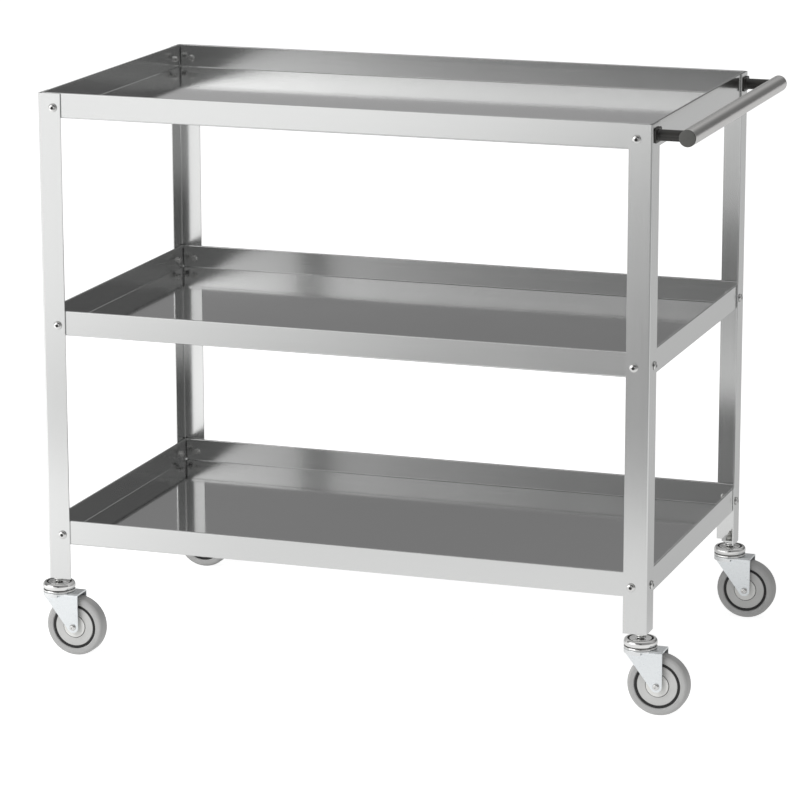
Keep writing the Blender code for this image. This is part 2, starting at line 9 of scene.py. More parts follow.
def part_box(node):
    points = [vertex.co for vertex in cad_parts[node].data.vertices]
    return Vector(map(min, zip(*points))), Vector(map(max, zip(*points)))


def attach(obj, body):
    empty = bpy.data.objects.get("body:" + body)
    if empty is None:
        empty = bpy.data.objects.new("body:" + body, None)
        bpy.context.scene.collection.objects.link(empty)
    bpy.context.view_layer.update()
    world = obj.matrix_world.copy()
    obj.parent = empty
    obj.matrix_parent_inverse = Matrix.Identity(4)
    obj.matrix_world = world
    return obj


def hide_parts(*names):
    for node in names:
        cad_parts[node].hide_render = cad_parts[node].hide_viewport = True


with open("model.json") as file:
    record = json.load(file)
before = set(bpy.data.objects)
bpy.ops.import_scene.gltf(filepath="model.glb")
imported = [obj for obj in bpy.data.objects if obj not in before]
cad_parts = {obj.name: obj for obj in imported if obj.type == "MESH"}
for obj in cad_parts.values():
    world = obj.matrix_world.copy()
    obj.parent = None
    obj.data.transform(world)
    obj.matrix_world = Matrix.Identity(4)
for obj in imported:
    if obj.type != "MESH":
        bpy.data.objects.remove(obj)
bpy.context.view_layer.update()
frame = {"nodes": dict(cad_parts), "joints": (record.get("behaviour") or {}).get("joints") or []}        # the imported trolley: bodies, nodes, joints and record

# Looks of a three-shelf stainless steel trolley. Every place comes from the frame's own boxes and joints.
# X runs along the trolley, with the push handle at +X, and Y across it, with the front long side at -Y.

SHELVES = ("top", "middle", "bottom")
CORNERS = {"left_front": (-1, -1), "left_back": (-1, 1), "right_front": (1, -1), "right_back": (1, 1)}
JOINTS = {joint["name"]: Vector(joint["pos_m"]) for joint in frame["joints"]}

GAP = 0.0003             # clearance between pieces that touch in the real trolley
BORE_CLEARANCE = 0.0004  # and round a pin in its hole

# Sheet work, as the CAD has it, but for the lean of two lips
LEG_SHEET = 0.002
LEG_BEND = 0.0035
TRAY_SHEET = 0.0012
FLOOR_BEND = 0.0022
HEM_WIDTH = 0.0030
HEM_DEPTH = 0.0045
LIP_LEAN = 0.024         # how far the back and left lips lean in, per length of rise
CORNER_NOTCH = 0.0034
GUSSET_SHEET = 0.0025
GUSSET_RISE = 0.001
EDGE = 0.00025           # rounding of a deburred sheet edge

# Fasteners
HEAD_RADIUS, HEAD_HEIGHT = 0.0064, 0.0032
SOCKET_RADIUS, SOCKET_DEPTH = 0.0026, 0.0020
SHANK = 0.0019
NUT_RADIUS, NUT_HEIGHT = 0.0055, 0.0042

# Handle
BAR_WALL = 0.0015
ARM_RADIUS = 0.0080
PLATE_DEPTH, PLATE_WIDTH, PLATE_HEIGHT = 0.0032, 0.0320, 0.0205
BAR_REACH = 0.048

# Castors
WHEEL_RADIUS = 0.045
TYRE_HALF = 0.012
CORE_RADIUS = 0.0336
CORE_HALF = 0.0108
HUB_RADIUS = 0.0172
HUB_HALF = 0.0118
SPACER_RADIUS = 0.0072
FORK_SHEET = 0.0025
FORK_HALF = 0.0175
FORK_BEND = 0.0035
FORK_TIP = 0.0085
FORK_ROUND = 0.0240
FORK_SKIRT = 0.0065
FORK_FRONT = 0.0166
AXLE_RADIUS = 0.0040
KINGPIN = 0.0050

leg_low, leg_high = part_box("leg_left_front")[0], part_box("leg_right_back")[1]
FRAME_MIDDLE = (leg_low + leg_high) / 2
LENGTH = leg_high.x - leg_low.x
WIDTH = leg_high.y - leg_low.y
LEG_BOTTOM, LEG_TOP = leg_low.z, leg_high.z
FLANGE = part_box("leg_left_front")[1].x - leg_low.x
RIMS = {shelf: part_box(f"{shelf}_shelf")[1].z for shelf in SHELVES}
LIP_HEIGHT = RIMS["top"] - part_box("top_shelf")[0].z
SWIVEL = JOINTS["swivel_left_front"]
TRAIL = JOINTS["spin_left_front"].x - SWIVEL.x
FORK_TOP = SWIVEL.z
CAP_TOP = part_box("castor_cap_left_front")[1].z
CAP_RADIUS = (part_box("castor_cap_left_front")[1].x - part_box("castor_cap_left_front")[0].x) / 2


# ---------------------------------------------------------------- camera, light and floor

CAMERA_PLACE = Vector((1.7851, -5.2120, 1.6769))
CAMERA_AZIMUTH, CAMERA_ELEVATION, CAMERA_ROLL = 0.33407, 0.23338, -0.00176
LENS = 169.3


def add_camera():
    data = bpy.data.cameras.new("camera")
    data.lens = LENS
    data.sensor_width = 36.0
    data.clip_start, data.clip_end = 0.05, 100.0
    camera = bpy.data.objects.new("camera", data)
    bpy.context.scene.collection.objects.link(camera)
    back = Vector((sin(CAMERA_AZIMUTH) * cos(CAMERA_ELEVATION), -cos(CAMERA_AZIMUTH) * cos(CAMERA_ELEVATION),
                   sin(CAMERA_ELEVATION)))
    turn = (-back).to_track_quat("-Z", "Y").to_matrix().to_4x4()
    camera.matrix_world = Matrix.Translation(CAMERA_PLACE) @ turn @ Matrix.Rotation(CAMERA_ROLL, 4, "Z")
    bpy.context.scene.camera = camera


def new_node(tree, kind, **settings):
    node = tree.nodes.new(kind)
    for name, value in settings.items():
        setattr(node, name, value)
    return node


def feed(tree, node, **inputs):
    """Links or sets a node's inputs, by name with _ for a space, or by number, as i0."""
    for name, value in inputs.items():
        key = int(name[1:]) if name[0] == "i" and name[1:].isdigit() else name.replace("_", " ")
        if isinstance(value, bpy.types.NodeSocket):
            tree.links.new(value, node.inputs[key])
        else:
            node.inputs[key].default_value = value
    return node


def maths(tree, operation, first, second=0.0):
    node = new_node(tree, "ShaderNodeMath", operation=operation)
    feed(tree, node, i0=first, i1=second)
    return node.outputs[0]


def plus(tree, first, second):
    return maths(tree, "ADD", first, second)


def times(tree, first, second):
    return maths(tree, "MULTIPLY", first, second)


def blob(tree, direction, towards, sharpness):
    """A soft spot of light in the sky round one direction, from 0 to 1."""
    dot = new_node(tree, "ShaderNodeVectorMath", operation="DOT_PRODUCT")
    feed(tree, dot, i0=direction, i1=Vector(towards).normalized()[:])
    return maths(tree, "POWER", maths(tree, "MAXIMUM", dot.outputs["Value"], 0.0), sharpness)


def blended(tree, value, low, high, at_low, at_high):
    """Goes smoothly from one level to another as the value passes from low to high."""
    node = new_node(tree, "ShaderNodeMapRange", interpolation_type="SMOOTHSTEP")
    feed(tree, node, Value=value, From_Min=low, From_Max=high, To_Min=at_low, To_Max=at_high)
    return node.outputs[0]


WHITE = (1.0, 1.0, 1.0, 1.0)

# The room, as the steel mirrors it, by direction: X, Y and height are those of a line one unit long.
SKY_BASE = 0.06
OVERHEAD = (0.0, 0.0, 1.0), 3.0, 0.70           # direction, sharpness and strength of each soft spot
LEFT_PANEL = (-0.70, -0.68, 0.22), 11.0, 0.75
RIGHT_PANEL = (0.90, 0.30, 0.40), 6.0, 0.35
BACK_LEFT = (-0.75, 0.65, 0.10), 4.0, 0.26
BACK_HIGH = (0.0, 0.86, 0.50), 40.0, 0.55

# A low glow in front: its level, the heights it ends between, and how it fades to the back and the right
HORIZON_LEVEL, HORIZON_TOP = 1.20, (0.110, 0.136)
HORIZON_DEPTH = -0.6, -0.3
HORIZON_SPAN, HORIZON_RIGHT = (0.0, 0.25), 0.15

# A bright wall on either side of the front: where it starts across X, its levels, and how it fades back and up
WALL_FROM, WALL_LEFT, WALL_RIGHT = (0.332, 0.380), 0.85, 0.18
WALL_DEPTH, WALL_TOP = (-0.5, -0.1), (0.25, 0.75)

# A low glow behind: the heights it ends between, its level at the left, and its levels across X
GLOW_TOP, GLOW_LEVEL = (0.155, 0.215), 0.25
GLOW_SPAN, GLOW_BEHIND = (0.375, 0.410), (0.04, 0.02)
GLOW_DEPTH = 0.3, 0.6


def add_world():
    """A studio of soft light, brightest at the left front and above. The camera sees plain white."""
    world = bpy.data.worlds.new("studio")
    bpy.context.scene.world = world
    world.use_nodes = True
    tree = world.node_tree
    tree.nodes.clear()
    direction = new_node(tree, "ShaderNodeTexCoord").outputs["Generated"]
    axes = feed(tree, new_node(tree, "ShaderNodeSeparateXYZ"), i0=direction)
    x, y, height = axes.outputs["X"], axes.outputs["Y"], axes.outputs["Z"]
    level = SKY_BASE
    for towards, sharpness, strength in (OVERHEAD, LEFT_PANEL, RIGHT_PANEL, BACK_LEFT, BACK_HIGH):
        level = plus(tree, level, times(tree, blob(tree, direction, towards, sharpness), strength))

    horizon = times(tree, blended(tree, height, *HORIZON_TOP, HORIZON_LEVEL, 0.0),
                    blended(tree, y, *HORIZON_DEPTH, 1.0, 0.0))
    horizon = times(tree, horizon, blended(tree, x, *HORIZON_SPAN, 1.0, HORIZON_RIGHT))
    level = plus(tree, level, horizon)

    wall = plus(tree, blended(tree, times(tree, x, -1.0), *WALL_FROM, 0.0, WALL_LEFT),
                blended(tree, x, *WALL_FROM, 0.0, WALL_RIGHT))
    for axis, limits in ((y, WALL_DEPTH), (height, WALL_TOP)):
        wall = times(tree, wall, blended(tree, axis, *limits, 1.0, 0.0))
    level = plus(tree, level, wall)

    spread = times(tree, blended(tree, y, *GLOW_DEPTH, 0.0, 1.0), blended(tree, x, *GLOW_SPAN, *GLOW_BEHIND))
    towards, sharpness, _ = BACK_LEFT
    spread = plus(tree, times(tree, blob(tree, direction, towards, sharpness), GLOW_LEVEL), spread)
    level = plus(tree, level, times(tree, spread, blended(tree, height, *GLOW_TOP, 1.0, 0.0)))

    seen = new_node(tree, "ShaderNodeLightPath").outputs["Is Camera Ray"]
    shade = feed(tree, new_node(tree, "ShaderNodeBackground"), Strength=level, Color=WHITE)
    plain = feed(tree, new_node(tree, "ShaderNodeBackground"), Strength=1.0, Color=WHITE)
    mixed = new_node(tree, "ShaderNodeMixShader")
    feed(tree, mixed, i0=seen, i1=shade.outputs[0], i2=plain.outputs[0])
    tree.links.new(mixed.outputs[0], new_node(tree, "ShaderNodeOutputWorld").inputs[0])


def add_light(name, place, target, size, power):
    """A square soft box. The steel doesn't mirror it, since it mirrors the sky."""
    data = bpy.data.lights.new(name, "AREA")
    data.shape = "SQUARE"
    data.size = size
    data.energy = power
    light = bpy.data.objects.new(name, data)
    bpy.context.scene.collection.objects.link(light)
    light.location = place
    light.rotation_euler = (Vector(target) - Vector(place)).to_track_quat("-Z", "Y").to_euler()
    light.visible_camera = False
    light.visible_glossy = False


def add_lights():
    middle = (0.0, 0.0, 0.4)
    add_light("key", (-2.6, -2.8, 3.0), middle, 2.2, 110)
    add_light("fill", (2.8, -2.6, 1.6), middle, 1.6, 12)


# The floor, as the steel mirrors it: in front a slope along X, kept within two levels, and one level behind
FRONT_SLOPE, FRONT_MIDDLE, FRONT_LEVELS = -0.58, 0.150, (0.40, 1.06)
BACK_LEVEL = 0.565
FRONT_ENDS = -0.3, 0.3                      # where the front fades into the back, along Y
NEAR_RISE, NEAR_ENDS = 0.48, (1.1, 1.7)     # how much brighter it is in front near by, and where that ends
FLOOR_SEEN, FLOOR_GREY = 0.80, 0.55         # the camera sees a glow, and a grey that takes the shadows
FLOOR_SIZE = 30.0


def add_floor():
    """A plain pale floor with very soft shadows. In the steel it is brightest at the front left and near by."""
    bm = bmesh.new()
    bmesh.ops.create_grid(bm, x_segments=8, y_segments=8, size=FLOOR_SIZE)
    mesh = bpy.data.meshes.new("floor")
    bm.to_mesh(mesh)
    bm.free()
    floor = linked("floor", mesh)
    material = bpy.data.materials.new("floor")
    material.use_nodes = True
    tree = material.node_tree
    tree.nodes.clear()
    place = new_node(tree, "ShaderNodeTexCoord").outputs["Object"]
    split = feed(tree, new_node(tree, "ShaderNodeSeparateXYZ"), i0=place)
    x, y = split.outputs["X"], split.outputs["Y"]
    front = plus(tree, times(tree, x, FRONT_SLOPE), FRONT_MIDDLE)
    front = maths(tree, "MINIMUM", maths(tree, "MAXIMUM", front, FRONT_LEVELS[0]), FRONT_LEVELS[1])
    behind = blended(tree, y, *FRONT_ENDS, 0.0, 1.0)
    ahead = maths(tree, "SUBTRACT", 1.0, behind)
    level = plus(tree, times(tree, front, ahead), times(tree, behind, BACK_LEVEL))
    near = blended(tree, maths(tree, "ABSOLUTE", y), *NEAR_ENDS, 1.0, 0.0)
    level = plus(tree, level, times(tree, near, times(tree, ahead, NEAR_RISE)))
    mirrored = feed(tree, new_node(tree, "ShaderNodeEmission"), Color=WHITE, Strength=level)
    glow = feed(tree, new_node(tree, "ShaderNodeEmission"), Color=WHITE, Strength=FLOOR_SEEN)
    matte = feed(tree, new_node(tree, "ShaderNodeBsdfDiffuse"), Color=(FLOOR_GREY, FLOOR_GREY, FLOOR_GREY, 1.0))
    shown = new_node(tree, "ShaderNodeAddShader")
    tree.links.new(glow.outputs[0], shown.inputs[0])
    tree.links.new(matte.outputs[0], shown.inputs[1])
    seen = new_node(tree, "ShaderNodeLightPath").outputs["Is Camera Ray"]
    mixed = new_node(tree, "ShaderNodeMixShader")
    feed(tree, mixed, i0=seen, i1=mirrored.outputs[0], i2=shown.outputs[0])
    tree.links.new(mixed.outputs[0], new_node(tree, "ShaderNodeOutputMaterial").inputs[0])
    mesh.materials.append(material)


# ---------------------------------------------------------------- materials

def principled(name, colour, roughness, metallic):
    """A material and its Principled shader, with the values that are the same all over."""
    material = bpy.data.materials.new(name)
    material.use_nodes = True
    tree = material.node_tree
    shader = tree.nodes["Principled BSDF"]
    feed(tree, shader, Base_Color=(*colour, 1.0), Roughness=roughness, Metallic=metallic)
    return tree, shader, material


def stretched(tree, scale=(1.0, 1.0, 1.0)):
    """Object coordinates, scaled on each axis: a small number draws the texture out along that axis."""
    place = new_node(tree, "ShaderNodeTexCoord").outputs["Object"]
    mapping = feed(tree, new_node(tree, "ShaderNodeMapping"), Vector=place, Scale=scale)
    return mapping.outputs[0]


def noise(tree, vector, scale, detail=4.0, rough=0.5):
    node = new_node(tree, "ShaderNodeTexNoise")
    feed(tree, node, Vector=vector, Scale=scale, Detail=detail, Roughness=rough)
    return node.outputs[0]


def ranged(tree, value, low, high, to_low, to_high):
    node = new_node(tree, "ShaderNodeMapRange")
    feed(tree, node, Value=value, From_Min=low, From_Max=high, To_Min=to_low, To_Max=to_high)
    return node.outputs[0]


def tinted(tree, value, dark, light, low=0.3, high=0.7):
    """Two colours blended by a value."""
    ramp = new_node(tree, "ShaderNodeValToRGB")
    ramp.color_ramp.elements[0].position, ramp.color_ramp.elements[1].position = low, high
    ramp.color_ramp.elements[0].color = (*dark, 1.0)
    ramp.color_ramp.elements[1].color = (*light, 1.0)
    tree.links.new(value, ramp.inputs[0])
    return ramp.outputs[0]


def shades(colour, factor):
    return [min(value * factor, 1.0) for value in colour]


def bumped(tree, shader, height, distance, strength):
    node = feed(tree, new_node(tree, "ShaderNodeBump"), Height=height, Distance=distance, Strength=strength)
    tree.links.new(node.outputs[0], shader.inputs["Normal"])


def brushed(name, along, colour, roughness, spread=0.02, grain=0.0000012):
    """Brushed stainless steel, with its fine lines running along one axis (0 to 2), and faint clouding."""
    tree, shader, material = principled(name, colour, roughness, 1.0)
    scale = [900.0, 900.0, 900.0]
    scale[along] = 6.0
    lines = noise(tree, stretched(tree, scale), 1.0, 3.0, 0.6)
    clouds = noise(tree, stretched(tree), 9.0, 3.0)
    mixed = plus(tree, times(tree, lines, 0.7), times(tree, clouds, 0.3))
    rough = ranged(tree, mixed, 0.3, 0.7, roughness - spread, roughness + spread)
    tree.links.new(rough, shader.inputs["Roughness"])
    tint = tinted(tree, mixed, shades(colour, 0.98), shades(colour, 1.015))
    tree.links.new(tint, shader.inputs["Base Color"])
    bumped(tree, shader, lines, grain, 0.6)
    return material


def polished(name, colour, roughness, marks=0.03):
    """Polished metal, with faint swirl marks."""
    tree, shader, material = principled(name, colour, roughness, 1.0)
    swirl = noise(tree, stretched(tree), 260.0, 5.0, 0.6)
    tree.links.new(ranged(tree, swirl, 0.3, 0.7, max(roughness - marks, 0.02), roughness + marks),
                   shader.inputs["Roughness"])
    tree.links.new(tinted(tree, swirl, shades(colour, 0.95), colour), shader.inputs["Base Color"])
    bumped(tree, shader, swirl, 0.000008, 0.4)
    return material


def spangled(name, colour, roughness):
    """Bright zinc plate: a faint crystal pattern with a fine grain over it."""
    tree, shader, material = principled(name, colour, roughness, 1.0)
    place = stretched(tree)
    cells = feed(tree, new_node(tree, "ShaderNodeTexVoronoi"), Vector=place, Scale=420.0)
    grain = noise(tree, place, 1500.0, 4.0, 0.7)
    mixed = plus(tree, times(tree, cells.outputs["Color"], 0.35), times(tree, grain, 0.65))
    rough = ranged(tree, mixed, 0.25, 0.75, roughness - 0.03, roughness + 0.05)
    tree.links.new(rough, shader.inputs["Roughness"])
    tree.links.new(tinted(tree, mixed, shades(colour, 0.95), colour), shader.inputs["Base Color"])
    bumped(tree, shader, grain, 0.000006, 0.4)
    return material


def moulded(name, colour, roughness, texture=900.0):
    """Moulded plastic or rubber: a fine pebbled texture, with broad variation in tone."""
    tree, shader, material = principled(name, colour, roughness, 0.0)
    place = stretched(tree)
    fine = noise(tree, place, texture, 4.0, 0.6)
    broad = noise(tree, place, 35.0, 3.0)
    tone = plus(tree, times(tree, fine, 0.4), times(tree, broad, 0.6))
    tint = tinted(tree, tone, shades(colour, 0.90), shades(colour, 1.08))
    tree.links.new(tint, shader.inputs["Base Color"])
    rough = ranged(tree, fine, 0.3, 0.7, roughness - 0.06, roughness + 0.06)
    tree.links.new(rough, shader.inputs["Roughness"])
    bumped(tree, shader, fine, 0.00003, 0.5)
    return material


STEEL = (0.74, 0.745, 0.74)      # the colour of the legs and lips
LEG_STEEL = brushed("leg_steel", 2, STEEL, 0.19)
RIM_LONG = brushed("rim_steel_long", 0, STEEL, 0.17)
RIM_END = brushed("rim_steel_end", 1, STEEL, 0.16)
FLOOR_STEEL = brushed("floor_steel", 0, (0.70, 0.70, 0.70), 0.07, 0.02, 0.000006)
BAR_STEEL = brushed("bar_steel", 1, (0.88, 0.87, 0.85), 0.29)
PIN_STEEL = polished("fastener_steel", (0.74, 0.74, 0.73), 0.14)
DARK_STEEL = polished("dark_steel", (0.42, 0.42, 0.40), 0.22)
CHROME = polished("chrome", (0.86, 0.86, 0.85), 0.05, 0.02)
ZINC = spangled("zinc_plate", (0.87, 0.90, 0.915), 0.29)
SKIRT_ZINC = polished("zinc_skirt", (0.86, 0.875, 0.88), 0.13)
COLLAR_STEEL = polished("collar_steel", (0.84, 0.84, 0.83), 0.12)
DISC = moulded("wheel_plastic", (0.55, 0.55, 0.54), 0.42)
HUB = moulded("hub_plastic", (0.74, 0.74, 0.72), 0.38)
# A near-black colour for the painted shadow at the bottom of a bolt's socket
SOCKET_SHADOW_PAINT = moulded("socket_painted_shadow", (0.015, 0.015, 0.014), 0.45)
SEAL = moulded("seal_rubber", (0.010, 0.010, 0.010), 0.50)
RUBBER = moulded("grey_rubber", (0.43, 0.43, 0.425), 0.62, 700.0)
BLACK = moulded("dark_plastic", (0.022, 0.021, 0.019), 0.34)
GREY_CAP = moulded("cap_plastic", (0.085, 0.085, 0.080), 0.45)
# A near-black colour painted into the race's grooves as shade
RACE_GROOVE_SHADE = moulded("race_groove_painted_shade", (0.030, 0.029, 0.027), 0.40)


# ---------------------------------------------------------------- mesh tools

def arc(centre, radius, start, end, steps):
    """Points on an arc, with angles in degrees."""
    angles = [radians(start + (end - start) * i / steps) for i in range(steps + 1)]
    return [(centre[0] + radius * cos(a), centre[1] + radius * sin(a)) for a in angles]


def mesh_from(bm, name):
    bmesh.ops.recalc_face_normals(bm, faces=bm.faces)
    mesh = bpy.data.meshes.new(name)
    bm.to_mesh(mesh)
    bm.free()
    return mesh


def smooth(mesh, angle=35):
    mesh.shade_smooth()
    mesh.set_sharp_from_angle(angle=radians(angle))
    return mesh


def weighted(mesh):
    """The mesh with its broad faces shaded flat, so that only bends and rounded edges catch the light."""
    obj = linked(mesh.name, mesh)
    modifier = obj.modifiers.new("Normals", "WEIGHTED_NORMAL")
    modifier.mode = "FACE_AREA"
    modifier.weight = 100
    modifier.keep_sharp = True
    return applied(obj)


def linked(name, mesh):
    obj = bpy.data.objects.new(name, mesh)
    bpy.context.scene.collection.objects.link(obj)
    return obj


def applied(obj):
    """The object's mesh with its modifiers applied. The object is removed."""
    bpy.context.view_layer.update()
    mesh = bpy.data.meshes.new_from_object(obj.evaluated_get(bpy.context.evaluated_depsgraph_get()))
    mesh.name = obj.name
    bpy.data.objects.remove(obj, do_unlink=True)
    return mesh


def turned(name, profile, sides, axis="Z"):
    """A profile of radius and height, turned about the axis. Its ends are one point, or both on the axis."""
    closed = profile[0] == profile[-1]
    points = profile[:-1] if closed else profile
    bm = bmesh.new()
    rings = []
    for radius, height in points:
        if radius < 1e-7:
            rings.append([bm.verts.new((0, 0, height))] * sides)
            continue
        angles = [2 * pi * i / sides for i in range(sides)]
        rings.append([bm.verts.new((radius * cos(a), radius * sin(a), height)) for a in angles])
    pairs = list(zip(rings, rings[1:])) + ([(rings[-1], rings[0])] if closed else [])
    for upper, lower in pairs:
        for i in range(sides):
            j = (i + 1) % sides
            corners = [upper[i], lower[i], lower[j], upper[j]]
            unique = list(dict.fromkeys(corners))
            if len(unique) > 2:
                bm.faces.new(unique)
    mesh = mesh_from(bm, name)
    if axis == "Y":
        mesh.transform(Matrix.Rotation(pi / 2, 4, "X"))
    return mesh


def rounded(profile, radius, steps=3):
    """A profile with its corners rounded off, but for its ends where it is open."""
    closed = profile[0] == profile[-1]
    points = [Vector(p) for p in (profile[:-1] if closed else profile)]
    count = len(points)
    result = []
    for i, point in enumerate(points):
        before, after = points[i - 1], points[(i + 1) % count]
        if not closed and i in (0, count - 1):
            result.append(tuple(point))
            continue
        to_before, to_after = before - point, after - point
        turn = to_before.angle(to_after)
        reach = min(radius, to_before.length * 0.45, to_after.length * 0.45)
        if pi - turn < radians(12):
            result.append(tuple(point))
            continue
        first, last = point + to_before.normalized() * reach, point + to_after.normalized() * reach
        for k in range(steps + 1):
            t = k / steps
            result.append(tuple(first * (1 - t) ** 2 + point * 2 * t * (1 - t) + last * t ** 2))
    return result + [result[0]] if closed else result


def prism(name, outline, low, high):
    """A flat outline in XY, extruded along Z from low to high."""
    bm = bmesh.new()
    base = bm.faces.new([bm.verts.new((x, y, low)) for x, y in outline])
    made = bmesh.ops.extrude_face_region(bm, geom=[base])["geom"]
    verts = [item for item in made if isinstance(item, bmesh.types.BMVert)]
    bmesh.ops.translate(bm, verts=verts, vec=(0, 0, high - low))
    return mesh_from(bm, name)


def bevelled(mesh, width, segments=2, angle=40):
    """The mesh with its sharp edges rounded."""
    obj = linked(mesh.name, mesh)
    bevel = obj.modifiers.new("Edges", "BEVEL")
    bevel.width = width
    bevel.segments = segments
    bevel.limit_method = "ANGLE"
    bevel.angle_limit = radians(angle)
    return applied(obj)


def cut(mesh, operation, other):
    """One mesh joined to or cut by another."""
    obj, tool = linked(mesh.name, mesh), linked("tool", other)
    boolean = obj.modifiers.new("Cut", "BOOLEAN")
    boolean.operation = operation
    boolean.object = tool
    result = applied(obj)
    bpy.data.objects.remove(tool, do_unlink=True)
    return result


def cylinder(start, end, radius, sides=48):
    bm = bmesh.new()
    start, end = Vector(start), Vector(end)
    along = end - start
    matrix = Matrix.Translation((start + end) / 2) @ facing(along)
    bmesh.ops.create_cone(bm, cap_ends=True, segments=sides, radius1=radius, radius2=radius, depth=along.length,
                          matrix=matrix)
    return mesh_from(bm, "cylinder")


def block(start, end):
    """A box between two opposite corners."""
    bm = bmesh.new()
    size = [b - a for a, b in zip(start, end)]
    middle = [(a + b) / 2 for a, b in zip(start, end)]
    bmesh.ops.create_cube(bm, size=1.0, matrix=Matrix.Translation(middle) @ Matrix.Diagonal((*size, 1.0)))
    return mesh_from(bm, "block")


def joined(name, meshes):
    """Several meshes, each with its material, as one."""
    bm = bmesh.new()
    materials = []
    for mesh in meshes:
        offset = len(materials)
        start = len(bm.faces)
        bm.from_mesh(mesh)
        bm.faces.ensure_lookup_table()
        for face in bm.faces[start:]:
            face.material_index += offset
        materials += list(mesh.materials)
    result = bpy.data.meshes.new(name)
    bm.to_mesh(result)
    bm.free()
    for material in materials:
        result.materials.append(material)
    return result


def painted(mesh, material):
    mesh.materials.clear()
    mesh.materials.append(material)
    return mesh


def facing(direction):
    """The turn that takes +Z to a direction."""
    return Vector(direction).to_track_quat("Z", "Y").to_matrix().to_4x4()


def place_piece(name, mesh, body, node, matrix=None):
    """Puts a piece in the frame, on its body, in place of its CAD node."""
    obj = linked(name, mesh)
    if matrix is not None:
        obj.matrix_world = matrix
    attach(obj, body)
    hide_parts(node)


# ---------------------------------------------------------------- legs

def leg_section():
    inner = LEG_BEND - LEG_SHEET
    outer_bend = arc((LEG_BEND, LEG_BEND), LEG_BEND, 270, 180, 10)
    inner_bend = arc((LEG_BEND, LEG_BEND), inner, 180, 270, 8)
    return [(FLANGE, 0.0), *outer_bend, (0.0, FLANGE), (LEG_SHEET, FLANGE), *inner_bend, (FLANGE, LEG_SHEET)]


def gusset():
    """The welded plate in the leg's foot, with its outer corner cut off."""
    side, chamfer = 0.0235, 0.007
    start = LEG_SHEET - 0.0004
    outline = [(start, start), (side, start), (side, side - chamfer), (side - chamfer, side), (start, side)]
    low = LEG_BOTTOM + GUSSET_RISE
    return prism("gusset", outline, low, low + GUSSET_SHEET)


def weld_bead(length):
    """The run of weld between the plate and a flange, as a row of overlapping lumps along +X."""
    bm = bmesh.new()
    steps, sides = 26, 8
    rings = []
    for i in range(steps + 1):
        x = length * i / steps
        swell = 0.0011 + 0.0002 * abs(sin(i * 1.9))
        fade = min(1.0, 0.35 + 3.0 * min(i, steps - i) / steps)
        angles = [2 * pi * k / sides for k in range(sides)]
        rings.append([bm.verts.new((x, swell * fade * cos(a), swell * fade * sin(a))) for a in angles])
    for first, second in zip(rings, rings[1:]):
        for k in range(sides):
            bm.faces.new([first[k], first[(k + 1) % sides], second[(k + 1) % sides], second[k]])
    bm.faces.new(rings[0])
    bm.faces.new(rings[-1])
    mesh = mesh_from(bm, "weld")
    mesh.transform(Matrix.Translation((LEG_SHEET + 0.001, LEG_SHEET, LEG_BOTTOM + GUSSET_RISE + GUSSET_SHEET)))
    return smooth(mesh, 60)


def build_legs():
    angle = painted(smooth(bevelled(prism("angle", leg_section(), LEG_BOTTOM, LEG_TOP), EDGE), 30), LEG_STEEL)
    plate = painted(smooth(bevelled(gusset(), EDGE), 30), LEG_STEEL)
    along_x = painted(weld_bead(0.018), LEG_STEEL)
    along_y = along_x.copy()
    along_y.transform(Matrix(((0, 1, 0, 0), (1, 0, 0, 0), (0, 0, 1, 0), (0, 0, 0, 1))))
    along_y.flip_normals()
    whole = joined("leg", [angle, plate, along_x, along_y])
    for corner, (sx, sy) in CORNERS.items():
        mesh = whole.copy()
        corner_point = (FRAME_MIDDLE.x + sx * LENGTH / 2, sy * WIDTH / 2, 0)
        mesh.transform(Matrix.Translation(corner_point) @ Matrix.Diagonal((-sx, -sy, 1, 1)))
        if sx * sy < 0:
            mesh.flip_normals()
        place_piece(f"angle_{corner}", weighted(mesh), "frame", f"leg_{corner}")


# ---------------------------------------------------------------- trays

def lip_profile(lean):
    """The outer skin of a lip: the bend at the floor, the wall, and the hem folded over to the inside."""
    hem = HEM_WIDTH / 2
    bend = arc((0, FLOOR_BEND), FLOOR_BEND, 270, 360, 8)[1:]
    fold = arc((FLOOR_BEND - hem, LIP_HEIGHT - hem), hem, 0, 180, 10)
    skin = [*bend, *fold, (FLOOR_BEND - HEM_WIDTH, LIP_HEIGHT - HEM_DEPTH)]
    return [(reach - max(rise - FLOOR_BEND, 0.0) * lean, rise) for reach, rise in skin]


TRAY_STEELS = FLOOR_STEEL, RIM_LONG, RIM_END


def fold_lip(bm, edge, outward, material, lean):
    """Folds one side of the tray up from an edge of its floor."""
    last = Vector((0, 0, 0))
    for reach, rise in lip_profile(lean):
        made = bmesh.ops.extrude_edge_only(bm, edges=[edge])["geom"]
        verts = [item for item in made if isinstance(item, bmesh.types.BMVert)]
        for face in made:
            if isinstance(face, bmesh.types.BMFace):
                face.material_index = TRAY_STEELS.index(material)
        edges = [item for item in made if isinstance(item, bmesh.types.BMEdge)]
        edge = next(item for item in edges if item.verts[0] in verts and item.verts[1] in verts)
        place = outward * reach + Vector((0, 0, rise))
        bmesh.ops.translate(bm, verts=verts, vec=place - last)
        last = place


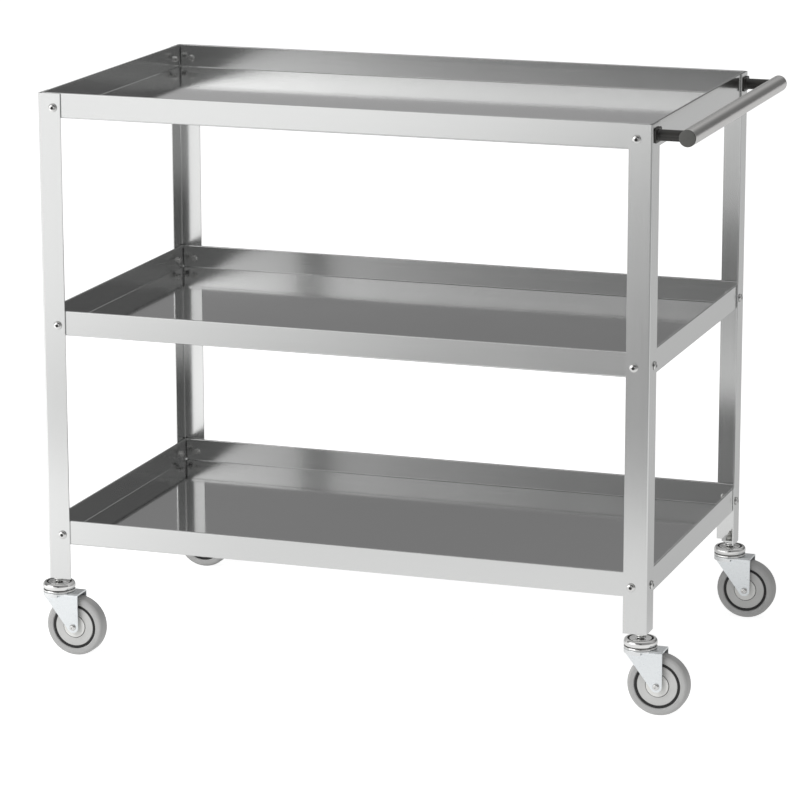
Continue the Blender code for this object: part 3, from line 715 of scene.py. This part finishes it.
def build_trays():
    """Each tray as one folded skin, thickened inwards, with an open slit at its corners."""
    half = Vector((LENGTH / 2 - LEG_SHEET - GAP, WIDTH / 2 - LEG_SHEET - GAP))
    inner, notch = half - Vector((FLOOR_BEND, FLOOR_BEND)), half - Vector((CORNER_NOTCH, CORNER_NOTCH))
    quarter = [(inner.x, notch.y), (notch.x, notch.y), (notch.x, inner.y)]
    outline = []
    for sx, sy in ((1, 1), (-1, 1), (-1, -1), (1, -1)):
        corner = [(sx * x, sy * y) for x, y in quarter]
        outline += corner if sx * sy > 0 else corner[::-1]
    for shelf in SHELVES:
        bm = bmesh.new()
        floor = bm.faces.new([bm.verts.new((x, y, RIMS[shelf] - LIP_HEIGHT)) for x, y in outline])
        floor.normal_update()
        if floor.normal.z > 0:
            floor.normal_flip()
        for edge in list(floor.edges):
            middle = (edge.verts[0].co + edge.verts[1].co) / 2
            if abs(abs(middle.x) - inner.x) < GAP:
                right = middle.x > 0
                fold_lip(bm, edge, Vector((1 if right else -1, 0, 0)), RIM_END, 0.0 if right else LIP_LEAN)
            elif abs(abs(middle.y) - inner.y) < GAP:
                back = middle.y > 0
                fold_lip(bm, edge, Vector((0, 1 if back else -1, 0)), RIM_LONG, LIP_LEAN if back else 0.0)
        mesh = bpy.data.meshes.new(shelf)
        bm.to_mesh(mesh)
        bm.free()
        for material in TRAY_STEELS:
            mesh.materials.append(material)
        obj = linked(shelf, mesh)
        sheet = obj.modifiers.new("Sheet", "SOLIDIFY")
        sheet.thickness = TRAY_SHEET
        sheet.offset = -1
        sheet.use_even_offset = True
        mesh = applied(obj)
        mesh.transform(Matrix.Translation((FRAME_MIDDLE.x, 0, 0)))
        place_piece(f"tray_{shelf}", weighted(smooth(mesh, 30)), "frame", f"{shelf}_shelf")


# ---------------------------------------------------------------- bolts

def head_mesh():
    """A button head facing +Z, with a hexagon socket. The face it sits on is at 0."""
    dome = [(HEAD_RADIUS * sin(a), GAP + 0.0006 + (HEAD_HEIGHT - 0.0006) * cos(a))
            for a in [radians(v) for v in (0, 8, 16, 25, 35, 45, 55, 65, 74, 82, 90)]]
    profile = [*dome, (HEAD_RADIUS, GAP + 0.0003), (HEAD_RADIUS - 0.0003, GAP), (SHANK, GAP), (SHANK, -0.0015),
               (0.0, -0.0015)]
    head = turned("head", profile, 40)
    socket = cylinder((0, 0, GAP + HEAD_HEIGHT - SOCKET_DEPTH), (0, 0, HEAD_HEIGHT * 2), SOCKET_RADIUS, 6)
    return painted(smooth(cut(head, "DIFFERENCE", socket), 32), PIN_STEEL)


def nut_mesh():
    """The round flanged nut inside the tray, with the end of the bolt in it."""
    seat = -(LEG_SHEET + GAP + TRAY_SHEET + GAP)
    outer = seat - NUT_HEIGHT
    profile = [(0.0, seat), (NUT_RADIUS, seat), (NUT_RADIUS, seat - 0.0009), (NUT_RADIUS * 0.86, seat - 0.0013),
               (NUT_RADIUS * 0.84, outer + 0.0006), (NUT_RADIUS * 0.72, outer), (SHANK * 1.15, outer),
               (SHANK, outer + 0.0008), (SHANK * 0.8, outer + 0.0008), (SHANK * 0.7, outer + 0.0003),
               (0.0, outer + 0.0003)]
    return painted(smooth(turned("nut", rounded(profile, 0.0003, 2), 36), 40), PIN_STEEL)


def hash_of(name):
    """A small whole number from a name, the same each run."""
    return sum(ord(letter) * (i + 1) for i, letter in enumerate(name)) % 97


def build_bolts():
    pit = GAP + HEAD_HEIGHT - SOCKET_DEPTH
    # A dark disc at the bottom of the hexagon socket: a painted shadow, not a part
    shadow = painted(cylinder((0, 0, pit - 0.0003), (0, 0, pit + 0.0006), SOCKET_RADIUS * 0.97, 6), SOCKET_SHADOW_PAINT)
    whole = weighted(joined("bolt", [head_mesh(), nut_mesh(), shadow]))
    for corner, (sx, sy) in CORNERS.items():
        for shelf in SHELVES:
            for way, outward in (("long", (0, sy, 0)), ("end", (sx, 0, 0))):
                node = f"bolt_{shelf}_{corner}_{way}"
                if node not in frame["nodes"]:
                    continue
                low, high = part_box(node)
                point = (low + high) / 2
                if way == "long":
                    point.y = sy * WIDTH / 2
                else:
                    point.x = FRAME_MIDDLE.x + sx * LENGTH / 2
                spin = Matrix.Rotation(radians((hash_of(node) * 37) % 60), 4, "Z")
                place_piece(f"button_bolt_{shelf}_{corner}_{way}", whole, "frame", node,
                            Matrix.Translation(point) @ facing(outward) @ spin)


# ---------------------------------------------------------------- push handle

def build_handle():
    low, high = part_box("handle_bar")
    radius = (high.z - low.z) / 2
    centre = (low + high) / 2
    half = (high.y - low.y) / 2
    lead = 0.0005
    bore = radius - BAR_WALL
    stations = 12
    side = [(radius, half - lead - (2 * half - 2 * lead) * i / stations) for i in range(stations + 1)]
    profile = [(radius - lead, half), *side, (radius - lead, -half), (bore, -half), (bore, half),
               (radius - lead, half)]
    bar = painted(smooth(turned("bar", profile, 96, "Y"), 30), BAR_STEEL)
    place_piece("grip_tube", bar, "frame", "handle_bar", Matrix.Translation(centre))
    bracket = bracket_mesh(radius)
    for side_name, sy in (("front", -1), ("back", 1)):
        low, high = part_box(f"handle_bracket_{side_name}")
        point = Vector((FRAME_MIDDLE.x + LENGTH / 2, (low.y + high.y) / 2, centre.z))
        on_leg = Matrix.Translation(point) @ facing((1, 0, 0))
        place_piece(f"bracket_arm_{side_name}", bracket, "frame",
                    f"handle_bracket_{side_name}", on_leg)
        place_piece(f"bracket_bolt_{side_name}", handle_bolt_mesh(), "frame",
                    f"handle_bolt_{side_name}", on_leg)
        end = Vector((centre.x, sy * (half + GAP), centre.z))
        place_piece(f"bar_plug_{side_name}", plug_mesh(radius), "frame",
                    f"handle_end_cap_{side_name}", Matrix.Translation(end) @ facing((0, sy, 0)))


def bracket_mesh(bar_radius):
    """The moulded spacer: a rounded plate on the leg and a round post that is hollowed to fit the bar."""
    corner = 0.004
    outline = []
    across, up = PLATE_WIDTH / 2 - corner, PLATE_HEIGHT / 2 - corner
    for sx, sy, start in ((1, 1, 0), (-1, 1, 90), (-1, -1, 180), (1, -1, 270)):
        outline += arc((sx * across, sy * up), corner, start, start + 90, 7)
    plate = bevelled(prism("bracket", outline, GAP, PLATE_DEPTH), 0.0008, 3, 50)
    fillet = arc((ARM_RADIUS + 0.0016, PLATE_DEPTH + 0.0012), 0.0016, 270, 180, 5)
    profile = [(0.0, BAR_REACH), (ARM_RADIUS, BAR_REACH), (ARM_RADIUS, PLATE_DEPTH + 0.0020), *fillet[::-1],
               (ARM_RADIUS + 0.0016, PLATE_DEPTH - 0.001), (0.0, PLATE_DEPTH - 0.001)]
    post = turned("post", profile, 64)
    saddle = cylinder((-PLATE_WIDTH, 0, BAR_REACH), (PLATE_WIDTH, 0, BAR_REACH), bar_radius + GAP, 96)
    whole = cut(cut(plate, "UNION", post), "DIFFERENCE", saddle)
    return weighted(painted(smooth(whole, 40), BLACK))


def handle_bolt_mesh():
    """The bracket's bolt, of which only the head in the tray shows."""
    seat = -(LEG_SHEET + GAP + TRAY_SHEET + GAP)
    dome = [(HEAD_RADIUS * sin(a), seat - 0.0006 - (HEAD_HEIGHT - 0.0006) * cos(a))
            for a in [radians(v) for v in (90, 80, 70, 60, 50, 40, 30, 20, 10, 0)]]
    shank, end = 0.0026, BAR_REACH - 0.0088
    profile = [(0.0, end), (shank, end), (shank, seat), (HEAD_RADIUS - 0.0003, seat),
               (HEAD_RADIUS, seat - 0.0003), *dome]
    head = turned("bracket_bolt", profile, 40)
    top = seat - HEAD_HEIGHT
    socket = cylinder((0, 0, top + SOCKET_DEPTH), (0, 0, top - HEAD_HEIGHT), SOCKET_RADIUS, 6)
    return painted(smooth(cut(head, "DIFFERENCE", socket), 32), PIN_STEEL)


def plug_mesh(bar_radius):
    """The plug in the bar's end: a slightly domed disc with a rounded edge, and its spigot."""
    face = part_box("handle_bar")[0].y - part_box("handle_end_cap_front")[0].y - GAP
    spigot = bar_radius - BAR_WALL - GAP
    crown = [(bar_radius * t, face - 0.0002 - 0.0004 * t * t) for t in (0.2, 0.4, 0.6, 0.8)]
    edge = arc((bar_radius - 0.0012, face - 0.0018), 0.0012, 80, 0, 5)
    profile = [(0.0, face), *crown, *edge, (bar_radius, 0.0), (spigot, 0.0), (spigot, -0.008), (0.0, -0.008)]
    return painted(smooth(turned("plug", profile, 72), 40), GREY_CAP)


# ---------------------------------------------------------------- castors

def stem_mesh():
    """The pin between the leg and the fork: its collar with a few thread-like grooves, and its pointed tip."""
    plate = LEG_BOTTOM + GUSSET_RISE
    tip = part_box("castor_stem_left_front")[1].z
    radius, collar, nut, foot = 0.0040, 0.0077, 0.0064, 0.0090
    nut_low, nut_high = plate + GUSSET_SHEET + GAP, plate + GUSSET_SHEET + GAP + 0.0042
    foot_top = FORK_TOP - FORK_SHEET - GAP
    thread = []
    top, bottom, pitch = tip - 0.006, nut_high + 0.0002, 0.0010
    for i in range(int((top - bottom) / pitch)):
        z = top - i * pitch
        thread += [(radius, z - pitch * 0.2), (radius - 0.0006, z - pitch * 0.7)]
    low, high = CAP_TOP + GAP, plate - GAP
    grooves = []
    for i in range(3):
        z = high - (high - low) * (i + 0.5) / 3
        grooves += [(collar, z + 0.0008), (collar - 0.0007, z), (collar, z - 0.0008)]
    profile = [(0.0, tip), (0.0012, tip - 0.0006), (radius, top), *thread, (radius, nut_high), (nut, nut_high),
               (nut, nut_low), (radius, nut_low), (radius, high), (collar - 0.0004, high), *grooves,
               (collar - 0.0004, low), (KINGPIN, low), (KINGPIN, foot_top), (foot - 0.0002, foot_top),
               (foot, foot_top - 0.0006), (foot - 0.0010, foot_top - 0.0022), (0.0, foot_top - 0.0022)]
    mesh = painted(smooth(turned("stem", profile, 40), 30), DARK_STEEL)
    mesh.materials.append(COLLAR_STEEL)
    for polygon in mesh.polygons:
        if low - 0.0001 < polygon.center.z < high + 0.0001:
            polygon.material_index = 1
    return mesh


def cap_mesh():
    """The upper race: a raised ring on the crown in a dark groove, a plump rim over a fine dark groove, and a
    band that carries on into the fork's skirt. The dark in both grooves is painted shade."""
    bore = KINGPIN + GAP
    under = FORK_TOP + 0.0005
    ring, floor, crest = 0.0164, CAP_TOP - 0.0026, 0.0206
    waist, rim, rim_low = 0.1006, 0.1052, 0.1044
    quarter = [radians(v) for v in range(0, 91, 9)]
    dome = [(crest + (CAP_RADIUS - crest) * sin(a), rim + (CAP_TOP - rim) * cos(a)) for a in quarter]
    belly = [(CAP_RADIUS - 0.0016 * (1 - cos(a)), rim_low - (rim_low - waist) * sin(a)) for a in quarter[:-1]]
    inner = [(crest - 0.0030 * cos(a), floor + (CAP_TOP - floor) * sin(a)) for a in quarter[:-1]]
    groove, band = CAP_RADIUS - 0.0026, CAP_RADIUS - 0.0003
    profile = [(bore, CAP_TOP - 0.0010), (bore + 0.0006, CAP_TOP - 0.0006), (ring - 0.0022, CAP_TOP - 0.0001),
               (ring - 0.0010, CAP_TOP - 0.0001), (ring - 0.0003, CAP_TOP - 0.0005), (ring, CAP_TOP - 0.0011),
               (ring + 0.0002, floor + 0.0003), (ring + 0.0008, floor), *inner, *dome, *belly,
               (groove, waist), (groove, waist - 0.0005), (band - 0.0003, waist - 0.0007),
               (band, waist - 0.0010), (band, under + 0.0002), (band - 0.0003, under), (bore, under),
               (bore, CAP_TOP - 0.0010)]
    mesh = painted(smooth(turned("cap", profile, 96), 50), CHROME)
    # The faces in the crown's groove and in the groove under the rim get painted shade
    mesh.materials.append(RACE_GROOVE_SHADE)
    for polygon in mesh.polygons:
        reach, height = hypot(polygon.center.x, polygon.center.y), polygon.center.z
        on_crown = ring < reach < crest - 0.0012 and height > rim
        at_waist = reach < CAP_RADIUS - 0.0008 and abs(height - waist) < 0.0006
        if on_crown or at_waist:
            polygon.material_index = 1
    return mesh


def fork_side():
    """The outline of the fork's side, in X and Z: upright at the back and slanted at the front."""
    front = Vector((-FORK_FRONT, FORK_TOP - FORK_SKIRT))
    tip = Vector((TRAIL, WHEEL_RADIUS))
    away = front - tip
    tangent = atan2(away.y, away.x) + acos(FORK_TIP / away.length)
    top = FORK_TOP + FORK_SHEET
    rounding = arc(tip, FORK_TIP, degrees(tangent), 360, 24)
    return [(front.x, top), tuple(front), *rounding, (tip.x + FORK_TIP, top)]


def fork_mesh():
    """The pressed fork round the swivel axis: a channel with slanted sides, under a round skirted head."""
    low, lead, tail, reach = 0.020, 0.006, 0.060, 0.030      # ends of the cutting blocks, past the sheet
    centre = (-FORK_HALF + FORK_BEND, FORK_TOP - FORK_BEND)
    outer = [(-FORK_HALF, low), *arc(centre, FORK_BEND, 180, 90, 8)]
    inner = [(-FORK_HALF + FORK_SHEET, low), *arc(centre, FORK_BEND - FORK_SHEET, 180, 90, 6)]
    side = outer + [(-y, z) for y, z in outer[::-1]]
    inner += [(-y, z) for y, z in inner[::-1]]
    to_xz = Matrix(((0, 0, 1, 0), (1, 0, 0, 0), (0, 1, 0, 0), (0, 0, 0, 1)))
    channel = prism("channel", side + inner[::-1], -reach, tail)
    channel.transform(to_xz)
    outline = prism("side", fork_side(), -reach, reach)
    outline.transform(Matrix.Rotation(pi / 2, 4, "X"))
    under, hem = FORK_TOP - FORK_SHEET, FORK_TOP - FORK_SKIRT
    bend = arc((FORK_ROUND - 0.0012, FORK_TOP - 0.0012), 0.0012, 90, 0, 5)
    skirt = [(0.0, FORK_TOP), *bend, (FORK_ROUND, hem), (FORK_ROUND - FORK_SHEET, hem),
             (FORK_ROUND - FORK_SHEET, under), (0.0, under)]
    head = turned("head", skirt, 72)
    inside = FORK_HALF - FORK_SHEET
    head = cut(head, "DIFFERENCE", block((lead, -reach, low), (tail, reach, under)))
    mesh = cut(cut(channel, "INTERSECT", outline), "UNION", head)
    front_end, back_end = [(TRAIL, y, WHEEL_RADIUS) for y in (-reach, reach)]
    for hole in (block((-0.010, -inside, low), (tail, inside, under)),
                 cylinder((0, 0, low), (0, 0, CAP_TOP), KINGPIN + BORE_CLEARANCE),
                 cylinder(front_end, back_end, AXLE_RADIUS + BORE_CLEARANCE)):
        mesh = cut(mesh, "DIFFERENCE", hole)
    mesh = painted(smooth(bevelled(mesh, 0.0003, 2, 50), 35), ZINC)
    mesh.materials.append(SKIRT_ZINC)
    for polygon in mesh.polygons:
        place, normal = polygon.center, polygon.normal
        if place.z > hem - 0.0002 and place.x * normal.x + place.y * normal.y > 0.93 * FORK_ROUND:
            polygon.material_index = 1
    return weighted(mesh)


def mirrored_profile(half):
    """A closed profile from its upper half."""
    return half + [(r, -z) for r, z in half[::-1]] + [half[0]]


def core_mesh():
    """The wheel's disc: a flat web, a black seal ring at its rim, and a bearing cover in a fine dark joint."""
    bore = AXLE_RADIUS + BORE_CLEARANCE
    spacer = FORK_HALF - FORK_SHEET - GAP
    web_in, seal_in, deep = HUB_RADIUS + 0.0003, 0.0298, CORE_HALF - 0.0020
    disc = [(web_in, CORE_HALF - 0.0016), (web_in, CORE_HALF - 0.0005), (web_in + 0.0005, CORE_HALF),
            (seal_in - 0.0004, CORE_HALF), (seal_in, CORE_HALF - 0.0004), (seal_in, deep)]
    web = turned("disc", rounded(mirrored_profile(disc), 0.0002, 2), 96, "Y")
    cover = [(bore, spacer), (SPACER_RADIUS - 0.0004, spacer), (SPACER_RADIUS, spacer - 0.0004),
             (SPACER_RADIUS, HUB_HALF - 0.0002), (HUB_RADIUS - 0.0012, HUB_HALF),
             (HUB_RADIUS - 0.0005, HUB_HALF - 0.0004), (HUB_RADIUS - 0.0004, HUB_HALF - 0.0012),
             (HUB_RADIUS - 0.0004, deep)]
    hub = turned("hub", rounded(mirrored_profile(cover), 0.0002, 2), 96, "Y")
    seal_top, proud = CORE_HALF - 0.0001, CORE_HALF + 0.0003
    ring = [(seal_in + 0.0001, deep), (seal_in + 0.0001, seal_top), (seal_in + 0.0005, proud),
            (CORE_RADIUS - 0.0005, proud), (CORE_RADIUS, seal_top), (CORE_RADIUS, deep)]
    joint_top = CORE_HALF - 0.0004
    joint = [(HUB_RADIUS - 0.0005, deep), (HUB_RADIUS - 0.0005, joint_top), (HUB_RADIUS + 0.0004, joint_top),
             (HUB_RADIUS + 0.0004, deep)]
    seal = turned("seal", mirrored_profile(ring), 96, "Y")
    line = turned("joint", mirrored_profile(joint), 96, "Y")
    parts = [painted(smooth(web, 30), DISC), painted(smooth(hub, 30), HUB), painted(smooth(seal, 40), SEAL),
             painted(smooth(line, 40), SEAL)]
    return joined("core", parts)


def tyre_mesh():
    """The grey tyre: rounded shoulders, a nearly flat tread with a fine mould line, a stepped inner edge."""
    bore = CORE_RADIUS + GAP
    bend = 0.0055
    shoulder = arc((WHEEL_RADIUS - bend, TYRE_HALF - bend), bend, 90, 0, 12)
    half = [(bore, CORE_HALF - 0.0012), (bore, CORE_HALF + 0.0002), (bore + 0.0010, TYRE_HALF - 0.0001),
            (bore + 0.0018, TYRE_HALF), *shoulder[:-1], (WHEEL_RADIUS - 0.00008, TYRE_HALF - 0.0060),
            (WHEEL_RADIUS - 0.00005, 0.0004), (WHEEL_RADIUS, 0.00015)]
    return painted(smooth(turned("tyre", mirrored_profile(half), 128, "Y"), 60), RUBBER)


def axle_mesh():
    """The axle along Y, with a domed and dimpled head at both ends."""
    radius, height = 0.0050, 0.0026
    seat = FORK_HALF + GAP
    top = seat + height
    front = [(0.0, top - 0.0009), (0.0012, top - 0.0006), (0.0018, top), (radius * 0.62, top - 0.0002),
             (radius * 0.86, seat + height * 0.62), (radius, seat + height * 0.25), (radius, seat),
             (AXLE_RADIUS, seat)]
    mesh = turned("axle", rounded(front + [(r, -z) for r, z in front[::-1]], 0.0002, 2), 48, "Y")
    return painted(smooth(mesh, 35), PIN_STEEL)


def build_castors():
    stem, cap, fork = stem_mesh(), cap_mesh(), fork_mesh()
    core, tyre, axle = weighted(core_mesh()), weighted(tyre_mesh()), axle_mesh()
    for corner in CORNERS:
        swivel, spin = JOINTS[f"swivel_{corner}"], JOINTS[f"spin_{corner}"]
        upright, on_axle = Matrix.Translation((swivel.x, swivel.y, 0)), Matrix.Translation(spin)
        turning, rolling = f"fork_{corner}", f"wheel_{corner}"
        for name, mesh, body, slot, node, place in (
                ("stem_pin", stem, "frame", "dark_steel", "castor_stem", upright),
                ("race_cap", cap, "frame", "chrome", "castor_cap", upright),
                ("pressed_fork", fork, turning, "zinc_plate", "castor_fork", upright),
                ("axle_bolt", axle, turning, "fastener_steel", "castor_axle", on_axle),
                ("wheel_disc", core, rolling, "wheel_plastic", "wheel_core", on_axle),
                ("rubber_tyre", tyre, rolling, "grey_rubber", "tyre", on_axle)):
            place_piece(f"{name}_{corner}", mesh, body, f"{node}_{corner}", place)


bpy.context.scene.view_settings.view_transform = "Standard"
add_camera()
add_world()
add_lights()
add_floor()
build_legs()
build_trays()
build_bolts()
build_handle()
build_castors()
